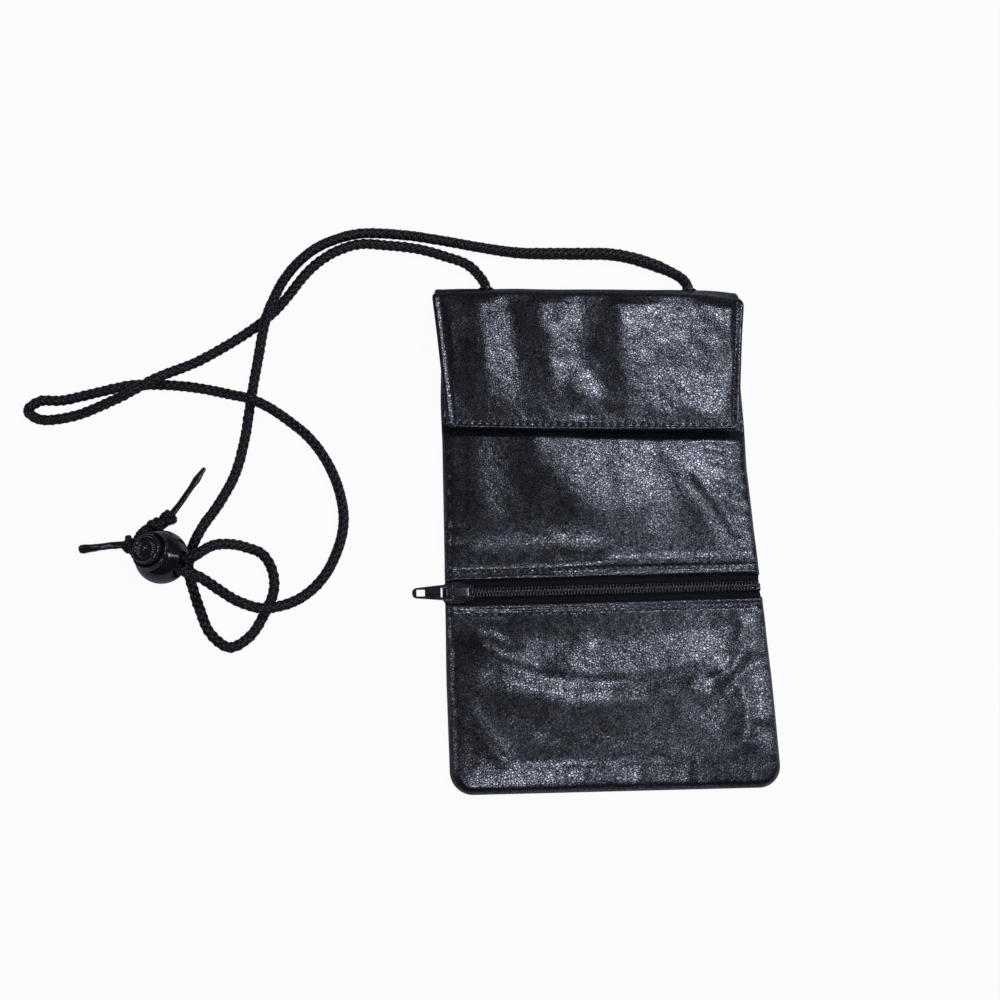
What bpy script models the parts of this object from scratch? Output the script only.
"""Neck pouch wallet: a flat leather pouch with a flap, a zip pocket and a long neck cord with a cord lock.

The pouch lies on its back. The origin is the centre of the back panel's outer face, +X runs to the
right along the zip, +Y runs up to the flap's fold and +Z points out of the front. Metres throughout.
"""
import math

import bmesh
import bpy
import numpy as np
from mathutils import Matrix, Vector

MM = 0.001

# ---- pouch body
BODY_W = 130 * MM                # widest, near the bottom
BODY_H = 208 * MM                # bottom seam to flap fold
MOUTH_W = 126 * MM               # just below the flap
FOLD_W = 133 * MM                # at the fold
BOTTOM_CORNER_R = 9 * MM
LEATHER_T = 1.2 * MM
GAP = 0.3 * MM                   # clearance between neighbouring layers
Y_BOTTOM = -BODY_H / 2
Y_FOLD = BODY_H / 2 + 0.2 * MM
FOLD_TURN = math.radians(-2.0)   # the fold runs slightly out of square
FOLD_X = 1.6 * MM                # the fold turns about this point
RIM_Z = 2.7 * MM                 # front leather at the side and bottom seams
LIP_WALL_TOP_Z = 9.1 * MM        # top of the back panel's upright lip

# ---- flap
FLAP_AXIS_Z = 9.5 * MM
FLAP_TOP_W = FOLD_W
FLAP_END_W = 121 * MM
FLAP_L = 63.4 * MM
FLAP_CORNER_R = 3 * MM
FLAP_EDGE_DROP = 0.35 * MM       # the outer face is this much lower along its side edges
FLAP_LINING_Z = (0.2 * MM, 0.6 * MM)   # above the hinge axis

# ---- zip, a size 3 nylon coil
ZIP_Y = -24.7 * MM
ZIP_HALF_OPENING = 5.0 * MM
ZIP_LIP_Z = 6.3 * MM             # outer face of the leather at the zip
ZIP_END = 60.8 * MM
TAPE_Z = (4.4 * MM, 4.8 * MM)
TAPE_W = 10.3 * MM
TAPE_INNER_EDGE = 1.35 * MM
TOOTH_PITCH = 1.27 * MM
TOOTH_HALF_W = 0.245 * MM
TOOTH_ROOT = 1.0 * MM            # measured from the zip's centre line
TOOTH_TIP = -0.55 * MM           # past the centre line, in the other half's gaps
COIL_HALF_W = 2.1 * MM
COIL_Z = (5.0 * MM, 6.3 * MM)
SLIDER_X = -59 * MM
BOTTOM_PLATE_Z = (3.5 * MM, 4.1 * MM)
TOP_PLATE_Z = (6.6 * MM, 7.3 * MM)
CROWN_HALF_W = 1.5 * MM
PULL_AXIS = (-61.8 * MM, ZIP_Y, 8.35 * MM)
PULL_HALF_T = 0.5 * MM

# ---- snap
SNAP = Vector((-4.0 * MM, 58.0 * MM, 0))
SNAP_R = 7.0 * MM
SNAP_POST_R = 1.4 * MM
SNAP_HOLE_R = 1.75 * MM
SNAP_WASHER_R = 6 * MM
SNAP_STEPS = 28

# ---- neck cord and its lock
CORD_R = 2.3 * MM
CORD_SIDES = 8
KNOT_R = 3.9 * MM
KNOTS = (Vector((-180 * MM, 8.8 * MM, 4.1 * MM)), Vector((-194.5 * MM, -4.5 * MM, 4.0 * MM)))
EYELET_X = 43.5 * MM
EYELET_Z = 5.1 * MM
LOCK_CENTRE = Vector((-178 * MM, -8 * MM, 12.6 * MM))
LOCK_R = 10.75 * MM
LOCK_TILT = math.radians(22)     # the button leans this far from upright
LOCK_TURN = math.radians(-22)    # heading of the cord channel
LOCK_STEPS = 28
BUTTON_R = 6.1 * MM
BUTTON_TOP = 12.4 * MM
BUTTON_TRAVEL = 3.0 * MM
STRAND_OFFSET = 2.42 * MM        # each strand's distance from the channel's centre line
CHANNEL_HALF_W = STRAND_OFFSET + CORD_R + 0.3 * MM
CHANNEL_HALF_H = CORD_R + 0.35 * MM
CHANNEL_CORNER_R = 1.6 * MM


# ------------------------------------------------------------------ scene helpers
def clear_scene():
    for scene_object in list(bpy.data.objects):
        bpy.data.objects.remove(scene_object)


def material(name, colour, roughness, metallic=0.0):
    result = bpy.data.materials.get(name) or bpy.data.materials.new(name)
    result.use_nodes = True
    shader = result.node_tree.nodes["Principled BSDF"]
    shader.inputs["Base Color"].default_value = (*colour, 1)
    shader.inputs["Roughness"].default_value = roughness
    shader.inputs["Metallic"].default_value = metallic
    result.diffuse_color = (*colour, 1)
    return result


def frame(name, matrix):
    """An empty that parts are built in."""
    result = bpy.data.objects.new(name, None)
    bpy.context.scene.collection.objects.link(result)
    result.matrix_world = matrix
    bpy.context.view_layer.update()
    return result


def add_object(name, shape, surface, parent=None):
    """A new object from a bmesh given in the parent's own frame."""
    bmesh.ops.recalc_face_normals(shape, faces=shape.faces)
    mesh = bpy.data.meshes.new(name)
    shape.to_mesh(mesh)
    shape.free()
    mesh.materials.append(surface)
    mesh.shade_smooth()
    mesh.set_sharp_from_angle(angle=math.radians(40))
    result = bpy.data.objects.new(name, mesh)
    bpy.context.scene.collection.objects.link(result)
    result.parent = parent
    return result


def boolean(target, name, shape, parent, operation="DIFFERENCE"):
    """Cuts or joins a hidden helper object into the target."""
    tool = add_object(name, shape, GUIDE, parent)
    tool.hide_render = True
    tool.display_type = "WIRE"
    modifier = target.modifiers.new(operation.lower() + "_" + name, "BOOLEAN")
    modifier.object = tool
    modifier.operation = operation
    modifier.solver = "EXACT"


# ------------------------------------------------------------------ shape helpers
def to_metres(rows):
    """A table of millimetres in metres."""
    return [tuple(value * MM for value in row) for row in rows]


def smooth01(t):
    t = min(1.0, max(0.0, t))
    return t * t * (3 - 2 * t)


def lerp_table(x, table):
    xs, ys = zip(*table)
    return float(np.interp(x, xs, ys))


def corner_inset(radius, distance):
    """How far a round corner pulls the side in, at a distance from the end of the outline."""
    if distance >= radius:
        return 0.0
    return radius - math.sqrt(max(0.0, radius ** 2 - (radius - distance) ** 2))


def on_side(outline, side):
    """An outline drawn for the +Y side, mirrored to -Y when side is -1, still counter-clockwise."""
    placed = [(x, side * y) for x, y in outline]
    return placed if side > 0 else placed[::-1]


def extruded(corners, offset):
    """A solid swept from a flat face along an offset."""
    shape = bmesh.new()
    face = shape.faces.new([shape.verts.new(corner) for corner in corners])
    swept = bmesh.ops.extrude_face_region(shape, geom=[face])
    moved = [item for item in swept["geom"] if isinstance(item, bmesh.types.BMVert)]
    bmesh.ops.translate(shape, verts=moved, vec=offset)
    return shape


def prism(outline, z_low, z_high):
    """A plate with the given plan outline, between two heights."""
    return extruded([(x, y, z_low) for x, y in outline], (0, 0, z_high - z_low))


def box(low, high):
    outline = [(low[0], low[1]), (high[0], low[1]), (high[0], high[1]), (low[0], high[1])]
    return prism(outline, low[2], high[2])


def ring_profile(inner_r, outer_r, z_low, z_high):
    """Section of a plain ring, or of a solid disc when the inner radius is zero."""
    return [(inner_r, z_low), (outer_r, z_low), (outer_r, z_high), (inner_r, z_high)]


def turned(profile, steps, matrix=None):
    """A surface of revolution about local Z.

    Profile points are (radius, height), listed around the section. A radius of zero at both ends
    closes the surface on the axis; otherwise the section is a closed ring.
    """
    shape = bmesh.new()
    matrix = matrix or Matrix.Identity(4)
    on_axis = profile[0][0] < 1e-9 and profile[-1][0] < 1e-9
    angles = [2 * math.pi * k / steps for k in range(steps)]
    rings = []
    for radius, z in profile:
        if radius < 1e-9:
            points = [Vector((0, 0, z))]
        else:
            points = [Vector((radius * math.cos(a), radius * math.sin(a), z)) for a in angles]
        rings.append([shape.verts.new(matrix @ point) for point in points])
    pairs = list(zip(rings, rings[1:]))
    if not on_axis:
        pairs.append((rings[-1], rings[0]))
    for here, there in pairs:
        for k in range(steps):
            j = (k + 1) % steps
            if len(here) == 1:
                shape.faces.new((here[0], there[k], there[j]))
            elif len(there) == 1:
                shape.faces.new((here[k], there[0], here[j]))
            else:
                shape.faces.new((here[k], there[k], there[j], here[j]))
    return shape


def tube(points, radii, sides):
    """A round bar along a line of points, with flat ends. The section is carried without twist."""
    shape = bmesh.new()
    points = [Vector(point) for point in points]
    last = len(points) - 1
    tangents = [(points[min(i + 1, last)] - points[max(i - 1, 0)]).normalized()
                for i in range(len(points))]
    up = Vector((0, 0, 1))
    normal = (up - tangents[0] * up.dot(tangents[0])).normalized()
    rings = []
    for point, tangent, radius in zip(points, tangents, radii):
        normal = (normal - tangent * normal.dot(tangent)).normalized()
        across = tangent.cross(normal)
        ring = []
        for k in range(sides):
            angle = 2 * math.pi * k / sides
            outward = normal * math.cos(angle) + across * math.sin(angle)
            ring.append(shape.verts.new(point + outward * radius))
        rings.append(ring)
    for here, there in zip(rings, rings[1:]):
        for k in range(sides):
            j = (k + 1) % sides
            shape.faces.new((here[k], here[j], there[j], there[k]))
    shape.faces.new(rings[0])
    shape.faces.new(rings[-1][::-1])
    return shape


def closed_shell(top_rows, bottom_rows):
    """A solid sheet between two matching grids of points."""
    shape = bmesh.new()
    top, bottom = [[[shape.verts.new(point) for point in row] for row in rows]
                   for rows in (top_rows, bottom_rows)]
    rows, columns = len(top), len(top[0])
    for j in range(rows - 1):
        for i in range(columns - 1):
            shape.faces.new((top[j][i], top[j][i + 1], top[j + 1][i + 1], top[j + 1][i]))
            shape.faces.new((bottom[j][i], bottom[j + 1][i],
                             bottom[j + 1][i + 1], bottom[j][i + 1]))
    rim = [(0, i) for i in range(columns)]
    rim += [(j, columns - 1) for j in range(1, rows)]
    rim += [(rows - 1, i) for i in range(columns - 2, -1, -1)]
    rim += [(j, 0) for j in range(rows - 2, 0, -1)]
    for (j0, i0), (j1, i1) in zip(rim, rim[1:] + rim[:1]):
        shape.faces.new((top[j0][i0], bottom[j0][i0], bottom[j1][i1], top[j1][i1]))
    return shape


def spline(way_points, step):
    """Points about `step` apart on a centripetal Catmull-Rom curve through the way points."""
    def blend(first, second, start, stop, at):
        share = stop - start
        return (stop - at) / share * first + (at - start) / share * second

    ways = np.array(way_points, float)
    ways = np.vstack([2 * ways[0] - ways[1], ways, 2 * ways[-1] - ways[-2]])
    dense = []
    for i in range(1, len(ways) - 2):
        p0, p1, p2, p3 = ways[i - 1:i + 3]
        t0 = 0.0
        t1 = t0 + math.sqrt(np.linalg.norm(p1 - p0))
        t2 = t1 + math.sqrt(np.linalg.norm(p2 - p1))
        t3 = t2 + math.sqrt(np.linalg.norm(p3 - p2))
        for at in np.linspace(t1, t2, 24, endpoint=False):
            middle = blend(p1, p2, t1, t2, at)
            before = blend(blend(p0, p1, t0, t1, at), middle, t0, t2, at)
            after = blend(middle, blend(p2, p3, t2, t3, at), t1, t3, at)
            dense.append(blend(before, after, t1, t2, at))
    dense.append(ways[-2])
    dense = np.array(dense)
    lengths = np.linalg.norm(np.diff(dense, axis=0), axis=1)
    run = np.concatenate([[0], np.cumsum(lengths)])
    stations = np.linspace(0, run[-1], int(round(run[-1] / step)) + 1)
    return np.stack([np.interp(stations, run, dense[:, k]) for k in range(3)], axis=1)


def thin_out(points, longest, turn):
    """Keeps points where the line has turned by `turn` or run `longest` since the last one kept."""
    keep = [0]
    for i in range(1, len(points) - 1):
        last = keep[-1]
        old = points[last + 1] - points[last]
        new = points[i + 1] - points[i]
        cosine = float(old @ new) / (np.linalg.norm(old) * np.linalg.norm(new))
        angle = math.acos(max(-1.0, min(1.0, cosine)))
        if angle > turn or np.linalg.norm(points[i] - points[last]) > longest:
            keep.append(i)
    return points[keep + [len(points) - 1]]


# ------------------------------------------------------------------ shape of the pouch
# (y, half the body's width)
HALF_WIDTHS = [
    (Y_BOTTOM, BODY_W / 2), (-60 * MM, BODY_W / 2), (-25 * MM, 64.2 * MM),
    (40 * MM, MOUTH_W / 2), (72 * MM, MOUTH_W / 2 + 0.3 * MM), (BODY_H / 2, FOLD_W / 2),
]
# millimetres: (distance in from the side or bottom seam, height of the front leather above its rim)
RISE = to_metres([(0, 0.0), (1.2, 2.1), (3, 3.85), (8, 4.5), (20, 5.2), (40, 5.6)])


def half_width(y):
    """Half the body's width at a height, with the round bottom corners."""
    return lerp_table(y, HALF_WIDTHS) - corner_inset(BOTTOM_CORNER_R, y - Y_BOTTOM)


def seam_distance(x, y):
    """Distance in from the side and bottom seams."""
    radius = BOTTOM_CORNER_R
    from_side = half_width(max(y, Y_BOTTOM + radius)) - abs(x)
    from_bottom = y - Y_BOTTOM
    if from_side < radius and from_bottom < radius:
        return radius - math.hypot(radius - from_side, radius - from_bottom)
    return min(from_side, from_bottom)


def front_top(x, y):
    """Height of the front leather's outer face: flatter towards the fold, and held down at the zip."""
    flattening = 1 - 0.28 * smooth01((y - 5 * MM) / (42 * MM))
    full = RIM_Z + lerp_table(seam_distance(x, y), RISE) * flattening
    from_zip = max(0.0, abs(y - ZIP_Y) - ZIP_HALF_OPENING)
    if full > ZIP_LIP_Z:
        full = ZIP_LIP_Z + (full - ZIP_LIP_Z) * smooth01(from_zip / (22 * MM))
    return full


def body_outline(y_high, inset, steps):
    """Plan outline of a flat body layer, counter-clockwise."""
    y_low = Y_BOTTOM + inset
    right = []
    for k in range(6):
        angle = math.pi / 2 * k / 5
        y = y_low + BOTTOM_CORNER_R * (1 - math.cos(angle))
        corner = BOTTOM_CORNER_R * (1 - math.sin(angle))
        right.append((lerp_table(y, HALF_WIDTHS) - inset - corner, y))
    y_start = right[-1][1]
    for k in range(1, steps + 1):
        y = y_start + (y_high - y_start) * k / steps
        right.append((lerp_table(y, HALF_WIDTHS) - inset, y))
    return right + [(-x, y) for x, y in reversed(right)]


def turned_to_fold(outline):
    """Eases the top of an outline round to the slope of the fold."""
    return [(x, y + (x - FOLD_X) * math.tan(FOLD_TURN) * smooth01((y - 60 * MM) / (44 * MM)))
            for x, y in outline]


# ------------------------------------------------------------------ materials
clear_scene()
LEATHER = material("black_leather", colour=(0.012, 0.013, 0.016), roughness=0.42)
LINING = material("black_lining", colour=(0.02, 0.02, 0.022), roughness=0.8)
TAPE = material("zip_tape", colour=(0.012, 0.012, 0.013), roughness=0.85)
NYLON = material("zip_nylon", colour=(0.015, 0.015, 0.017), roughness=0.45)
SLIDER = material("slider_metal", colour=(0.09, 0.09, 0.095), roughness=0.32, metallic=1.0)
SNAP_METAL = material("snap_metal", colour=(0.35, 0.35, 0.36), roughness=0.3, metallic=1.0)
MAGNET = material("magnet", colour=(0.12, 0.12, 0.13), roughness=0.45, metallic=1.0)
CORD = material("cord_nylon", colour=(0.010, 0.010, 0.011), roughness=0.7)
AGLET = material("aglet_plastic", colour=(0.015, 0.015, 0.015), roughness=0.2)
LOCK = material("lock_plastic", colour=(0.010, 0.011, 0.013), roughness=0.18)
STEEL = material("spring_steel", colour=(0.5, 0.5, 0.5), roughness=0.3, metallic=1.0)
GUIDE = material("guide", colour=(1, 0, 0), roughness=0.5)


# ------------------------------------------------------------------ frames
def fold_matrix(z):
    """On the fold line at a height, X along the fold."""
    return Matrix.Translation((FOLD_X, Y_FOLD, z)) @ Matrix.Rotation(FOLD_TURN, 4, "Z")


def lock_axes():
    """X along the cord channel, Y across the two strands, Z up the button."""
    along = Vector((math.cos(LOCK_TILT) * math.cos(LOCK_TURN),
                    math.cos(LOCK_TILT) * math.sin(LOCK_TURN), math.sin(LOCK_TILT)))
    up = Vector((-math.sin(LOCK_TILT) * math.cos(LOCK_TURN),
                 -math.sin(LOCK_TILT) * math.sin(LOCK_TURN), math.cos(LOCK_TILT)))
    matrix = Matrix((along, up.cross(along), up)).transposed().to_4x4()
    matrix.translation = LOCK_CENTRE
    return matrix


LOCK_MATRIX = lock_axes()
FOLD_FRAME = frame("fold_frame", fold_matrix(0))
FLAP_FRAME = frame("flap_hinge_frame", fold_matrix(FLAP_AXIS_Z))
SNAP_FRAME = frame("snap_frame", Matrix.Translation(SNAP))
ZIP_FRAME = frame("zip_frame", Matrix.Translation((0, ZIP_Y, 0)))
SLIDER_FRAME = frame("zip_slider_frame", Matrix.Translation((SLIDER_X, ZIP_Y, 0)))
PULL_FRAME = frame("pull_hinge_frame", Matrix.Translation(PULL_AXIS))
LOCK_FRAME = frame("lock_frame", LOCK_MATRIX)


# ------------------------------------------------------------------ back panel and linings
# millimetres: (radius, distance outward from the fold line)
EYELET_PROFILE = to_metres([
    (2.6, -2.7), (2.85, -2.7), (2.85, 0.1), (3.5, 0.1), (3.5, 0.4), (3.2, 0.65), (2.6, 0.3),
])
EYELET_HOLE = to_metres(ring_profile(0, 3.1, -4, 3))
EYELET_WASHER = to_metres(ring_profile(3.05, 3.55, -2.3, -1.7))
EYELET_STEPS = 20


def build_back_panel():
    """A flat sheet with a lip that stands up along the fold and carries the eyelets."""
    outline = turned_to_fold(body_outline(Y_FOLD - 0.9 * MM, inset=0.0, steps=12))
    panel = add_object("back_panel", prism(outline, 0, LEATHER_T), LEATHER)
    wall_half_w = FOLD_W / 2 - 0.6 * MM
    wall = box((-wall_half_w, -1.4 * MM, 0.35 * MM), (wall_half_w, -0.2 * MM, LIP_WALL_TOP_Z))
    boolean(panel, "lip_wall", wall, FOLD_FRAME, "UNION")
    for i, (name, side) in enumerate((("left", -1), ("right", 1))):
        axis = (Matrix.Translation((side * EYELET_X, 0, EYELET_Z))
                @ Matrix.Rotation(math.radians(-90), 4, "X"))
        hole = turned(EYELET_HOLE, EYELET_STEPS, axis)
        boolean(panel, "eyelet_hole_%d" % i, hole, FOLD_FRAME)
        # the flange is outside the lip, the barrel passes through it and the washer rings it inside
        add_object("eyelet_" + name, turned(EYELET_PROFILE, EYELET_STEPS, axis),
                   SLIDER, FOLD_FRAME)
        add_object("eyelet_washer_" + name, turned(EYELET_WASHER, EYELET_STEPS, axis),
                   SNAP_METAL, FOLD_FRAME)


def build_linings():
    """Two thin layers inside the pouch."""
    lining_z = LEATHER_T + GAP
    lining = body_outline(91 * MM, inset=3 * MM, steps=8)
    add_object("back_lining", prism(lining, lining_z, lining_z + 0.3 * MM), LINING)
    divider = body_outline(84 * MM, inset=4 * MM, steps=8)
    add_object("divider_panel", prism(divider, 3.0 * MM, 3.2 * MM), LINING)


# ------------------------------------------------------------------ front leather
# columns of the front panels, as shares of the half width
FRONT_COLUMNS = [-1.0, -0.982, -0.954, -0.877, -0.692, -0.4, 0.0,
                 0.4, 0.692, 0.877, 0.954, 0.982, 1.0]


def front_panel(name, ys):
    """One piece of the front leather, with a row of points at each y."""
    plan = [[(column * half_width(y), y) for column in FRONT_COLUMNS] for y in ys]
    top = [[(x, y, front_top(x, y)) for x, y in row] for row in plan]
    bottom = [[(x, y, z - LEATHER_T) for x, y, z in row] for row in top]
    return add_object(name, closed_shell(top, bottom), LEATHER)


def build_front_panels():
    """The leather above and below the zip. Returns the upper piece."""
    upper_lip, lower_lip = ZIP_Y + ZIP_HALF_OPENING, ZIP_Y - ZIP_HALF_OPENING
    upper = front_panel("front_upper_panel",
                        [upper_lip + step * MM for step in (0, 4, 9, 16)]
                        + [y * MM for y in (10, 25, 40, 52, 70, 86)])
    front_panel("front_lower_panel",
                [Y_BOTTOM + step * MM for step in (0.25, 1.2, 3, 6, 10, 20, 38, 54)]
                + [lower_lip - step * MM for step in (9, 4, 0)])
    return upper


# ------------------------------------------------------------------ flap
# the sheet's section from the fold to the free end, in millimetres (y, z) about the hinge axis
FLAP_OUTER_LINE = [
    (0.25, -0.1), (0.1, 0.5), (-0.6, 1.3), (-1.8, 1.95), (-4, 2.15), (-14, 2.15), (-26, 2.15),
    (-34, 2.15), (-40, 2.15), (-46, 2.15), (-52, 2.15), (-58, 2.15), (-62.2, 2.1), (-63.4, 1.7),
]
FLAP_INNER_LINE = [
    (-0.8, -0.1), (-0.95, 0.25), (-1.35, 0.6), (-2.2, 0.88), (-4, 0.95), (-14, 0.95), (-26, 0.95),
    (-34, 0.95), (-40, 0.95), (-46, 0.95), (-52, 0.95), (-58, 0.95), (-62.2, 0.95), (-63.4, 0.95),
]
# columns of the flap, as shares of its half width, closer together over the snap
FLAP_COLUMNS = [-1, -0.985, -0.8, -0.5, -0.25, -0.16, -0.06, 0.04, 0.14, 0.3, 0.6, 0.85, 0.985, 1]
SNAP_ON_FLAP = Matrix.Rotation(-FOLD_TURN, 4, "Z") @ (SNAP - Vector((FOLD_X, Y_FOLD, 0)))


def flap_half_width(y):
    taper = (FLAP_END_W - FLAP_TOP_W) * max(0.0, -y / FLAP_L)
    return (FLAP_TOP_W + taper) / 2 - corner_inset(FLAP_CORNER_R, y + FLAP_L)


def snap_bump(x, y):
    """Rise of the flap over the snap."""
    distance = math.hypot(x - SNAP_ON_FLAP.x, y - SNAP_ON_FLAP.y)
    return 0.7 * MM * (1 - smooth01((distance - 6.5 * MM) / (6 * MM)))


def flap_rows(section, edge_drop):
    rows = []
    for y, z in to_metres(section):
        half = flap_half_width(y)
        row = []
        for column in FLAP_COLUMNS:
            x = column * half
            drop = edge_drop if abs(column) == 1 and y < -2 * MM else 0.0
            bump = snap_bump(x, y) if y < -4 * MM else 0
            row.append((x, y, z - drop + bump))
        rows.append(row)
    return rows


def build_flap():
    """Outer leather bent round the fold, and the lining under it. Returns the lining."""
    leather = closed_shell(flap_rows(FLAP_OUTER_LINE, FLAP_EDGE_DROP),
                           flap_rows(FLAP_INNER_LINE, 0.0))
    add_object("flap_outer", leather, LEATHER, FLAP_FRAME)
    top_x, top_y = FLAP_TOP_W / 2 - 5 * MM, -4 * MM
    end_x, end_y = FLAP_END_W / 2 - 3 * MM, -FLAP_L + 3 * MM
    outline = [(-top_x, top_y), (-end_x, end_y), (end_x, end_y), (top_x, top_y)]
    return add_object("flap_lining", prism(outline, *FLAP_LINING_Z), LINING, FLAP_FRAME)


# ------------------------------------------------------------------ snap
def snap_part(name, profile, surface):
    add_object(name, turned(profile, SNAP_STEPS), surface, SNAP_FRAME)


def snap_hole(panel, name, z_low):
    hole = turned(ring_profile(0, SNAP_HOLE_R, z_low, 20 * MM), 16)
    boolean(panel, name, hole, SNAP_FRAME)


def build_snap(upper_panel, flap_lining):
    """The socket's post passes through the front leather and the stud's through the flap lining."""
    base = front_top(SNAP.x, SNAP.y) + GAP
    cup_r = SNAP_R - 0.8 * MM
    snap_part("snap_socket", [
        (0, base - 2.6 * MM), (SNAP_POST_R, base - 2.6 * MM), (SNAP_POST_R, base),
        (SNAP_R, base), (SNAP_R, base + 1.4 * MM), (SNAP_R - 0.5 * MM, base + 1.5 * MM),
        (cup_r, base + 1.4 * MM), (cup_r, base + 0.4 * MM), (0, base + 0.4 * MM),
    ], SNAP_METAL)
    snap_part("snap_magnet", ring_profile(3.0 * MM, SNAP_R - 1.0 * MM,
                                          base + 0.5 * MM, base + 1.4 * MM), MAGNET)
    snap_part("snap_socket_washer", ring_profile(SNAP_HOLE_R, SNAP_WASHER_R,
                                                 base - 2.1 * MM, base - 1.7 * MM), SNAP_METAL)
    snap_hole(upper_panel, "socket_hole", 0)

    plate = base + 1.75 * MM
    plate_r = SNAP_R - 0.3 * MM
    lining_low = FLAP_AXIS_Z + FLAP_LINING_Z[0]
    snap_part("snap_stud", [
        (0, plate - 1.05 * MM), (2.3 * MM, plate - 1.05 * MM), (2.6 * MM, plate - 0.8 * MM),
        (2.6 * MM, plate), (plate_r, plate), (plate_r, plate + 0.4 * MM),
        (SNAP_POST_R, plate + 0.4 * MM), (SNAP_POST_R, lining_low + 1.3 * MM),
        (0, lining_low + 1.3 * MM),
    ], SNAP_METAL)
    snap_part("snap_stud_washer", ring_profile(SNAP_HOLE_R, SNAP_WASHER_R, lining_low + 0.65 * MM,
                                               lining_low + 1.0 * MM), SNAP_METAL)
    snap_hole(flap_lining, "stud_hole", 5 * MM)


# ------------------------------------------------------------------ zip
# all in millimetres, about the slider's centre; (x, half width) of the two plates
SLIDER_HALF_PLAN = to_metres([
    (-6.3, 2.4), (-5.6, 3.6), (-3.2, 4.25), (-0.6, 4.5), (1.4, 4.2), (3.4, 3.3), (5.3, 2.95),
    (6.2, 2.8),
])
SLIDER_NOTCH_X = 5.4 * MM
# (x, y) of the wedge between the plates, at the left end
WEDGE = to_metres([(-5.9, -0.9), (-3.0, -0.35), (-3.0, 0.35), (-5.9, 0.9)])
# (x, y) of the upper side flange
FLANGE = to_metres([
    (1.8, 2.4), (6.0, 2.4), (6.0, 2.8), (5.3, 2.9), (3.4, 3.25), (1.4, 4.15), (-0.6, 4.45),
    (-2.6, 4.28), (-2.6, 3.3),
])
# (x, z) of the crown, seen from the side
CROWN = to_metres([
    (-5.2, 7.5), (-4.1, 7.5), (-4.1, 9.15), (3.4, 9.15), (3.4, 7.5), (4.9, 7.5), (4.9, 8.6),
    (4.0, 9.8), (2.4, 10.2), (-4.0, 10.2), (-4.9, 9.8), (-5.2, 9.2),
])
# (x, y) of the pull tab, about its hinge axis
PULL_TAB = to_metres([
    (0.5, -3.1), (0.5, 3.1), (-3.6, 3.1), (-14.4, 2.1), (-15.4, 1.6), (-15.9, 0.8), (-16.0, 0),
    (-15.9, -0.8), (-15.4, -1.6), (-14.4, -2.1), (-3.6, -3.1),
])
# x_low, x_high and half width of the openings in the pull tab
PULL_OPENINGS = {
    "pull_window": (-4.4 * MM, -0.5 * MM, 1.9 * MM),
    "pull_hole": (-14.2 * MM, -10.8 * MM, 1.35 * MM),
}


def coil_outline(shift):
    """One half of the coil: a spine with a tooth at every pitch."""
    left = -ZIP_END + 0.05 * MM
    outline = [(left, TOOTH_ROOT)]
    for k in range(int(2 * ZIP_END / TOOTH_PITCH)):
        centre = -ZIP_END + 0.45 * MM + shift + k * TOOTH_PITCH
        before, after = centre - TOOTH_HALF_W, centre + TOOTH_HALF_W
        outline += [(before, TOOTH_ROOT), (before, TOOTH_TIP),
                    (after, TOOTH_TIP), (after, TOOTH_ROOT)]
    return outline + [(ZIP_END, TOOTH_ROOT), (ZIP_END, COIL_HALF_W), (left, COIL_HALF_W)]


def build_zip():
    """Two tapes and two coil halves, whose teeth sit in each other's gaps."""
    for name, side, shift in (("upper", 1, 0.0), ("lower", -1, TOOTH_PITCH / 2)):
        y_low, y_high = sorted((side * TAPE_INNER_EDGE, side * (TAPE_INNER_EDGE + TAPE_W)))
        tape = box((-ZIP_END, y_low, TAPE_Z[0]), (ZIP_END, y_high, TAPE_Z[1]))
        add_object("zip_tape_" + name, tape, TAPE, ZIP_FRAME)
        coil = prism(on_side(coil_outline(shift), side), *COIL_Z)
        add_object("zip_coil_" + name, coil, NYLON, ZIP_FRAME)


def build_slider():
    """Two plates joined by a wedge, with side flanges under the top plate."""
    plan = [(x, -y) for x, y in SLIDER_HALF_PLAN]
    plan += [(SLIDER_NOTCH_X, 0)] + SLIDER_HALF_PLAN[::-1]
    slider = add_object("zip_slider_body", prism(plan, *TOP_PLATE_Z), SLIDER, SLIDER_FRAME)
    wedge = prism(WEDGE, BOTTOM_PLATE_Z[0] + 0.2 * MM, TOP_PLATE_Z[1] - 0.2 * MM)
    boolean(slider, "slider_wedge", wedge, SLIDER_FRAME, "UNION")
    boolean(slider, "slider_bottom_plate", prism(plan, *BOTTOM_PLATE_Z), SLIDER_FRAME, "UNION")
    for i, side in enumerate((-1, 1)):
        flange = prism(on_side(FLANGE, side), 5.15 * MM, TOP_PLATE_Z[1] - 0.25 * MM)
        boolean(slider, "slider_flange_%d" % i, flange, SLIDER_FRAME, "UNION")


def build_crown():
    """An arch over the slider that holds the pull."""
    crown = extruded([(x, -CROWN_HALF_W, z) for x, z in CROWN], (0, 2 * CROWN_HALF_W, 0))
    add_object("zip_slider_crown", crown, SLIDER, SLIDER_FRAME)


def build_pull():
    """The pull tab, whose inner bar turns under the crown."""
    pull = add_object("zip_pull_tab", prism(PULL_TAB, -PULL_HALF_T, PULL_HALF_T),
                      SLIDER, PULL_FRAME)
    for name, (x_low, x_high, half_w) in PULL_OPENINGS.items():
        opening = box((x_low, -half_w, -2 * MM), (x_high, half_w, 2 * MM))
        boolean(pull, name, opening, PULL_FRAME)


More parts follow.
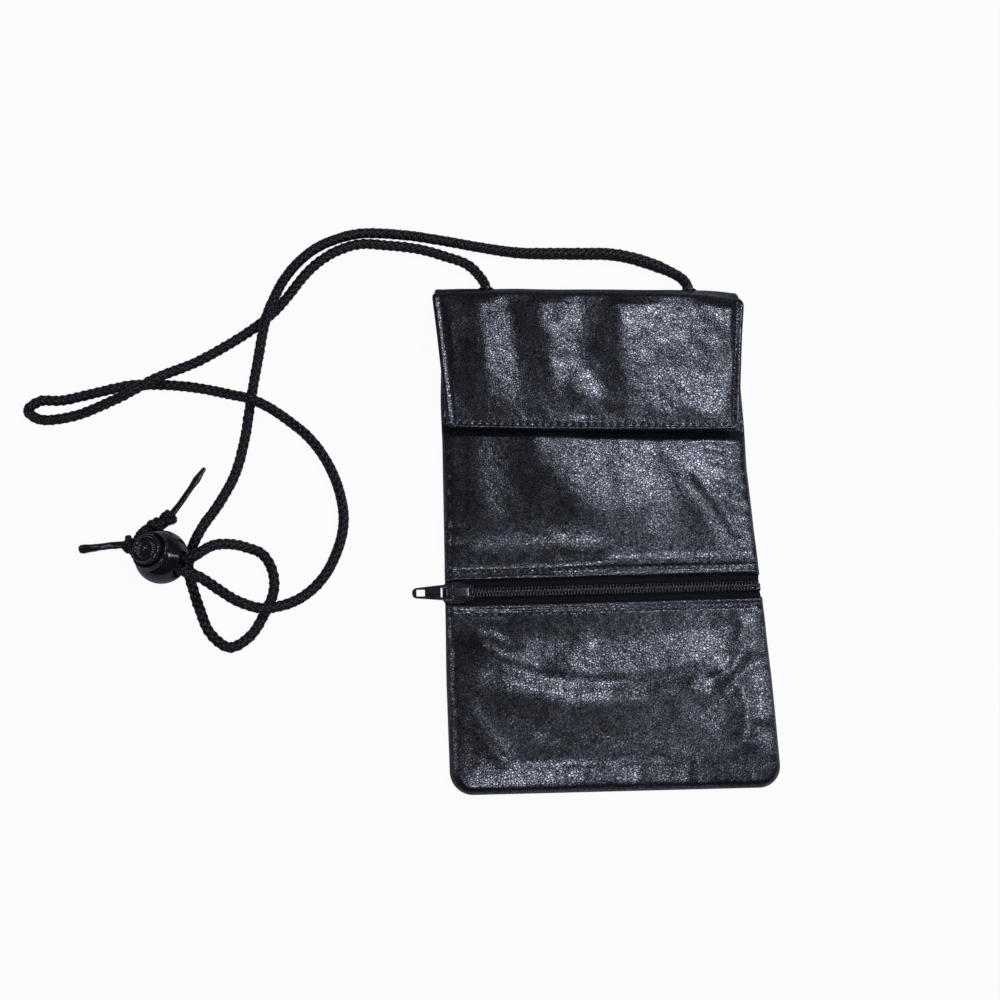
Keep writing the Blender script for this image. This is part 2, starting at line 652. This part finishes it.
# ------------------------------------------------------------------ cord lock
def channel(half_w, z_low, z_high):
    """A round-cornered slot along the lock's X axis."""
    radius, steps = CHANNEL_CORNER_R, 5
    right = []
    for start, centre_z in ((-math.pi / 2, z_low + radius), (0.0, z_high - radius)):
        for k in range(steps + 1):
            angle = start + math.pi / 2 * k / steps
            right.append((half_w - radius + radius * math.cos(angle),
                          centre_z + radius * math.sin(angle)))
    outline = right + [(-y, z) for y, z in reversed(right)]
    return extruded([(-14 * MM, y, z) for y, z in outline], (28 * MM, 0, 0))


def build_lock_body():
    """A ball with a collar, a bore for the button and a channel for two strands of cord."""
    steps = 12
    start, stop = -math.pi / 2, math.asin(7.2 * MM / LOCK_R)
    ball = [(0.0, -LOCK_R)]
    for k in range(1, steps + 1):
        angle = start + (stop - start) * k / steps
        ball.append((LOCK_R * math.cos(angle), LOCK_R * math.sin(angle)))
    collar_r, collar_z = 7.9 * MM, 9.4 * MM
    collar = [(collar_r, 8.0 * MM), (collar_r, collar_z - 0.4 * MM),
              (collar_r - 0.4 * MM, collar_z)]
    bore_r, bore_z = BUTTON_R + 0.3 * MM, -6.9 * MM
    seat_r, seat_z = 4.3 * MM, -8.9 * MM
    bore = [(bore_r, collar_z), (bore_r, bore_z), (seat_r, bore_z), (seat_r, seat_z), (0, seat_z)]
    body = add_object("cord_lock_body", turned(ball + collar + bore, LOCK_STEPS),
                      LOCK, LOCK_FRAME)
    boolean(body, "cord_channel", channel(CHANNEL_HALF_W, -CHANNEL_HALF_H, CHANNEL_HALF_H),
            LOCK_FRAME)


def build_lock_button():
    """A plunger with a dished top and a channel tall enough for its travel."""
    bottom, dish = -3.6 * MM, BUTTON_TOP - 0.6 * MM
    profile = [
        (0, bottom), (BUTTON_R - 0.3 * MM, bottom), (BUTTON_R, bottom + 0.3 * MM),
        (BUTTON_R, BUTTON_TOP - 0.8 * MM), (BUTTON_R - 0.8 * MM, BUTTON_TOP),
        (BUTTON_R - 1.5 * MM, BUTTON_TOP), (BUTTON_R - 1.7 * MM, dish), (1.2 * MM, dish),
        (0.9 * MM, BUTTON_TOP - 1.1 * MM), (0, BUTTON_TOP - 1.1 * MM),
    ]
    button = add_object("cord_lock_button", turned(profile, LOCK_STEPS), LOCK, LOCK_FRAME)
    slot = channel(CHANNEL_HALF_W - 0.05 * MM, -CHANNEL_HALF_H, CHANNEL_HALF_H + BUTTON_TRAVEL)
    boolean(button, "button_channel", slot, LOCK_FRAME)


def build_lock_spring():
    """A coil spring under the button."""
    turns, turn_steps = 2.5, 14
    wire_r, coil_r = 0.3 * MM, 3.6 * MM
    z_low, rise = -8.45 * MM, 4.35 * MM
    helix = []
    for k in range(int(turn_steps * turns) + 1):
        angle = 2 * math.pi * k / turn_steps
        helix.append((coil_r * math.cos(angle), coil_r * math.sin(angle),
                      z_low + rise * k / (turn_steps * turns)))
    add_object("cord_lock_spring", tube(helix, [wire_r] * len(helix), 5), STEEL, LOCK_FRAME)


# ------------------------------------------------------------------ neck cord
# Way points of the cord's centre line, in millimetres (x, y, z). One length runs from the first
# hard end, through the lock, round a small loop, up to the right eyelet, across inside the fold,
# out of the left eyelet, round the far loop and back through the lock to the second hard end.
FLOOR = CORD_R / MM              # lying on the floor
OVER = 7.4                       # crossing over another strand
END_1 = [(-176, 13, 2.6), (-178, 10, 3.6), (-181, 8, 4.2), (-185, 8, 4.4), (-188, 4, 5.4),
         (-189, 1, 7)]
SMALL_LOOP = [
    (-163, -8, 17.5), (-157, -4, 14), (-150, -3, 9.5), (-144, -4, 5), (-139, -6, 2.8),
    (-135, -12, FLOOR), (-134, -21, FLOOR), (-138, -31, FLOOR), (-144, -40, FLOOR),
    (-152, -44, FLOOR), (-160, -38, FLOOR), (-164, -29, FLOOR), (-167, -20, FLOOR),
]
RIGHT_RUN = [
    (-169, -12, FLOOR), (-168, -4, FLOOR), (-164, 5, FLOOR), (-157, 15, FLOOR),
    (-150, 28, FLOOR), (-146, 43, FLOOR), (-144, 56, FLOOR), (-142, 69, FLOOR), (-140, 78, 4.5),
    (-138, 87, OVER), (-136, 96, OVER), (-132, 106, 7), (-128, 115, 4), (-123, 122, FLOOR),
    (-116, 128, FLOOR), (-108, 132, FLOOR), (-96, 135, FLOOR), (-78, 134, FLOOR),
    (-61, 131, FLOOR), (-43, 127, FLOOR), (-26, 124, FLOOR), (-4, 123, FLOOR), (15, 122, FLOOR),
    (29, 118, FLOOR), (39, 113, 2.7), (43.5, 109, 3.9),
]
LEFT_RUN = [
    (-43.5, 112, 3.7), (-49, 119, 2.5), (-58, 123, FLOOR), (-70, 127, FLOOR), (-83, 129, FLOOR),
    (-96, 130, FLOOR), (-106, 127, FLOOR), (-114, 122, FLOOR), (-121, 115, FLOOR),
    (-127, 107, FLOOR), (-134, 99, FLOOR), (-144, 91, FLOOR), (-155, 84, FLOOR),
    (-166, 78, FLOOR),
]
FAR_LOOP = [
    (-173, 74, 5), (-181, 70, OVER), (-189, 66, OVER), (-197, 62, 6.6), (-206, 59, 4),
    (-215, 56, FLOOR), (-224, 54, FLOOR), (-233, 54, FLOOR), (-238, 58, FLOOR),
    (-233, 62, FLOOR), (-224, 62, FLOOR), (-214, 64, FLOOR), (-205, 66, FLOOR),
    (-195, 68, FLOOR), (-184, 68, FLOOR), (-172, 67, FLOOR),
]
BIG_ARC = [
    (-161, 65, FLOOR), (-152, 62, 5), (-143, 59, OVER), (-136, 56, 5.5), (-128, 51, FLOOR),
    (-119, 43, FLOOR), (-112, 33, FLOOR), (-107, 21, FLOOR), (-105, 7, FLOOR), (-108, -6, FLOOR),
    (-115, -18, FLOOR), (-125, -26, 4.5), (-138, -29, OVER), (-148, -26, 8.5), (-156, -21, 12),
    (-162, -17, 16),
]
END_2 = [(-190, -6, 6.6), (-193, -5, 4.6), (-196, -4, 3.4), (-198, -3.4, 2.8)]
# the right half of the run inside the fold, in the fold frame (x, y), metres
INSIDE_RIGHT = [(EYELET_X, 1.6 * MM), (EYELET_X, -3.2 * MM), (41.8 * MM, -6.7 * MM),
                (37 * MM, -8.2 * MM), (20 * MM, -8.2 * MM)]
# stations along the cord channel, millimetres
LOCK_STATIONS = (-11.5, -7, 0, 7, 12)

# name, tip, and share of the round width that is kept from side to side
AGLETS = (
    ("aglet_1", Vector((-162.7 * MM, 31 * MM, 1.7 * MM)), 0.62),
    ("aglet_2", Vector((-214.4 * MM, -2 * MM, 1.7 * MM)), 1.0),
)
AGLET_RADII = [1.7, 1.55, 1.45, 1.4, 1.35, 1.35, 1.35, 1.3, 1.0]   # millimetres, cord to tip


def inside_run():
    left = [(-x, y) for x, y in reversed(INSIDE_RIGHT)]
    return [tuple(FOLD_FRAME.matrix_world @ Vector((x, y, EYELET_Z)))
            for x, y in INSIDE_RIGHT + [(0, -8.2 * MM)] + left]


def lock_strand(across):
    """A strand's way points through the lock, in the direction of the lock's X axis."""
    return [tuple(LOCK_MATRIX @ Vector((along * MM, across, 0))) for along in LOCK_STATIONS]


def cord_line():
    way = to_metres(END_1) + lock_strand(STRAND_OFFSET) + to_metres(SMALL_LOOP + RIGHT_RUN)
    way += inside_run() + to_metres(LEFT_RUN + FAR_LOOP + BIG_ARC)
    way += lock_strand(-STRAND_OFFSET)[::-1] + to_metres(END_2)
    return thin_out(spline(way, 1.5 * MM), longest=9 * MM, turn=math.radians(11))


def cord_radius(point):
    """The cord's radius, swelling at the two knots."""
    distance = min((Vector(point) - knot).length for knot in KNOTS)
    return CORD_R + (KNOT_R - CORD_R) * (1 - smooth01((distance - 1.5 * MM) / (4 * MM)))


def build_cord(line):
    radii = [cord_radius(point) for point in line]
    add_object("neck_cord", tube(line, radii, CORD_SIDES), CORD)


def build_aglets(line):
    """Hard ends that follow on from the cord's two ends. The first is flattened."""
    for (name, tip, width_share), cord_end in zip(AGLETS, (line[0], line[-1])):
        start = Vector(cord_end)
        direction = (tip - start).normalized()
        start = start + direction * 1.3 * MM
        steps = len(AGLET_RADII) - 1
        points = [start + (tip - start) * k / steps for k in range(steps + 1)]
        shape = tube(points, [radius * MM for radius in AGLET_RADII], 10)
        sideways = direction.cross(Vector((0, 0, 1))).normalized()
        for vert in shape.verts:
            offset = (vert.co - start).dot(sideways)
            vert.co -= sideways * offset * (1 - width_share)
        add_object(name, shape, AGLET)


# ------------------------------------------------------------------ build
build_back_panel()
build_linings()
front_upper = build_front_panels()
lining_of_flap = build_flap()
build_snap(front_upper, lining_of_flap)
build_zip()
build_slider()
build_crown()
build_pull()
build_lock_body()
build_lock_button()
build_lock_spring()
cord = cord_line()
build_cord(cord)
build_aglets(cord)
bpy.context.view_layer.update()
